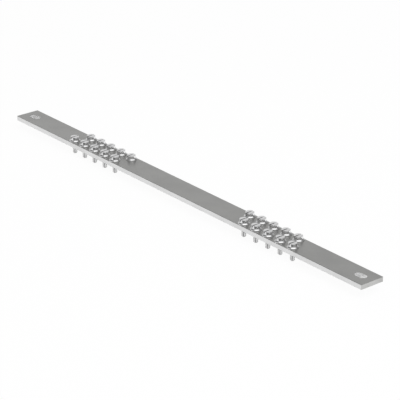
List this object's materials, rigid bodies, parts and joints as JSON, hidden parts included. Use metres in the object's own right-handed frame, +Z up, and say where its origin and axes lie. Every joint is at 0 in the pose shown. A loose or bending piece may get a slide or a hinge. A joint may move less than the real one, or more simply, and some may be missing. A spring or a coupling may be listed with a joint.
{
  "type": "earth terminal bar",
  "caption": "Flat metal earthing bar with staggered groups of slotted screw terminals, dished cup washers and a slotted fixing hole near each end.",
  "frame": {"origin": "midway between the two fixing slots, on the underside of the bar", "axes": "+X along the bar, +Y across it from the front row of terminals to the rear row, +Z up out of the face that carries the terminals"},
  "size_m": [0.595, 0.03, 0.0204],
  "materials": {
    "bar_metal": "tin-plated flat bar, dull silver with a fine rolled grain",
    "screw_metal": "bright zinc-plated, turned",
    "washer_metal": "bright zinc-plated, pressed"
  },
  "bodies": {
    "root": {"cup_washer_left_front_1": "washer_metal", "cup_washer_left_front_2": "washer_metal", "cup_washer_left_front_3": "washer_metal", "cup_washer_left_front_4": "washer_metal", "cup_washer_left_front_5": "washer_metal", "cup_washer_left_rear_1": "washer_metal", "cup_washer_left_rear_2": "washer_metal", "cup_washer_left_rear_3": "washer_metal", "cup_washer_left_rear_4": "washer_metal", "cup_washer_left_rear_5": "washer_metal", "cup_washer_right_front_1": "washer_metal", "cup_washer_right_front_2": "washer_metal", "cup_washer_right_front_3": "washer_metal", "cup_washer_right_front_4": "washer_metal", "cup_washer_right_front_5": "washer_metal", "cup_washer_right_rear_1": "washer_metal", "cup_washer_right_rear_2": "washer_metal", "cup_washer_right_rear_3": "washer_metal", "cup_washer_right_rear_4": "washer_metal", "cup_washer_right_rear_5": "washer_metal", "earth_bar": "bar_metal", "screw_left_front_1": "screw_metal", "screw_left_front_2": "screw_metal", "screw_left_front_3": "screw_metal", "screw_left_front_4": "screw_metal", "screw_left_front_5": "screw_metal", "screw_left_rear_1": "screw_metal", "screw_left_rear_2": "screw_metal", "screw_left_rear_3": "screw_metal", "screw_left_rear_4": "screw_metal", "screw_left_rear_5": "screw_metal", "screw_right_front_1": "screw_metal", "screw_right_front_2": "screw_metal", "screw_right_front_3": "screw_metal", "screw_right_front_4": "screw_metal", "screw_right_front_5": "screw_metal", "screw_right_rear_1": "screw_metal", "screw_right_rear_2": "screw_metal", "screw_right_rear_3": "screw_metal", "screw_right_rear_4": "screw_metal", "screw_right_rear_5": "screw_metal"}
  },
  "joints": []
}
